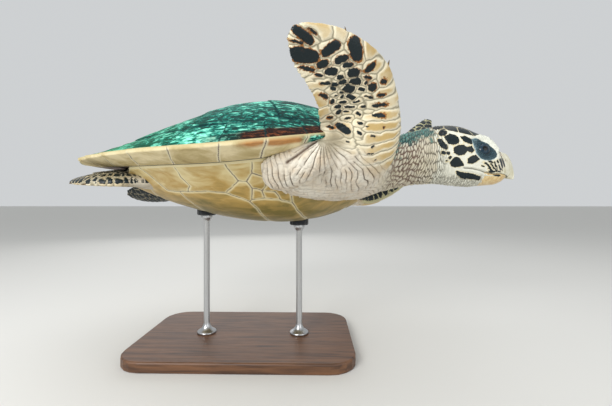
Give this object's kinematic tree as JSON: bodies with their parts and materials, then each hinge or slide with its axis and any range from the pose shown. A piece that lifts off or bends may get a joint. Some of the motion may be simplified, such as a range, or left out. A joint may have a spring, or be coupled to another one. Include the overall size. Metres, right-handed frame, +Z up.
{
  "type": "hawksbill sea turtle",
  "caption": "Life-size hawksbill sea turtle held in a swimming pose over a flat base by short rods, near front flipper raised.",
  "frame": {"origin": "centre of the stand's underside", "axes": "+X to the turtle's head, +Z up, -Y to the turtle's right side, which the picture shows"},
  "size_m": [0.9193, 0.5994, 0.5487],
  "materials": {
    "skin": "scaly skin, cream below with dark patches, dark olive on top",
    "carapace_horn": "mottled overlapping keratin plates, satin",
    "plastron_horn": "pale cream to amber keratin plates, satin",
    "beak_horn": "amber keratin with dark streaks, satin",
    "eye": "wet and glossy, near black",
    "claw_horn": "brown keratin",
    "stand_wood": "dark stained, satin varnish",
    "stand_steel": "brushed",
    "stand_felt": "black felt"
  },
  "bodies": {
    "root": {"head": "skin", "neck": "skin", "trunk": "skin", "tail": "skin", "flipper_front_right": "skin", "flipper_front_left": "skin", "flipper_hind_right": "skin", "flipper_hind_left": "skin", "carapace": "carapace_horn", "plastron": "plastron_horn", "beak_upper": "beak_horn", "beak_lower": "beak_horn", "eye_right": "eye", "eye_left": "eye", "claw_front_right_1": "claw_horn", "claw_front_right_2": "claw_horn", "claw_front_left_1": "claw_horn", "claw_front_left_2": "claw_horn", "claw_hind_right_1": "claw_horn", "claw_hind_right_2": "claw_horn", "claw_hind_left_1": "claw_horn", "claw_hind_left_2": "claw_horn", "stand_base": "stand_wood", "stand_rod_rear": "stand_steel", "stand_rod_front": "stand_steel", "stand_pad_rear": "stand_felt", "stand_pad_front": "stand_felt"}
  },
  "joints": []
}
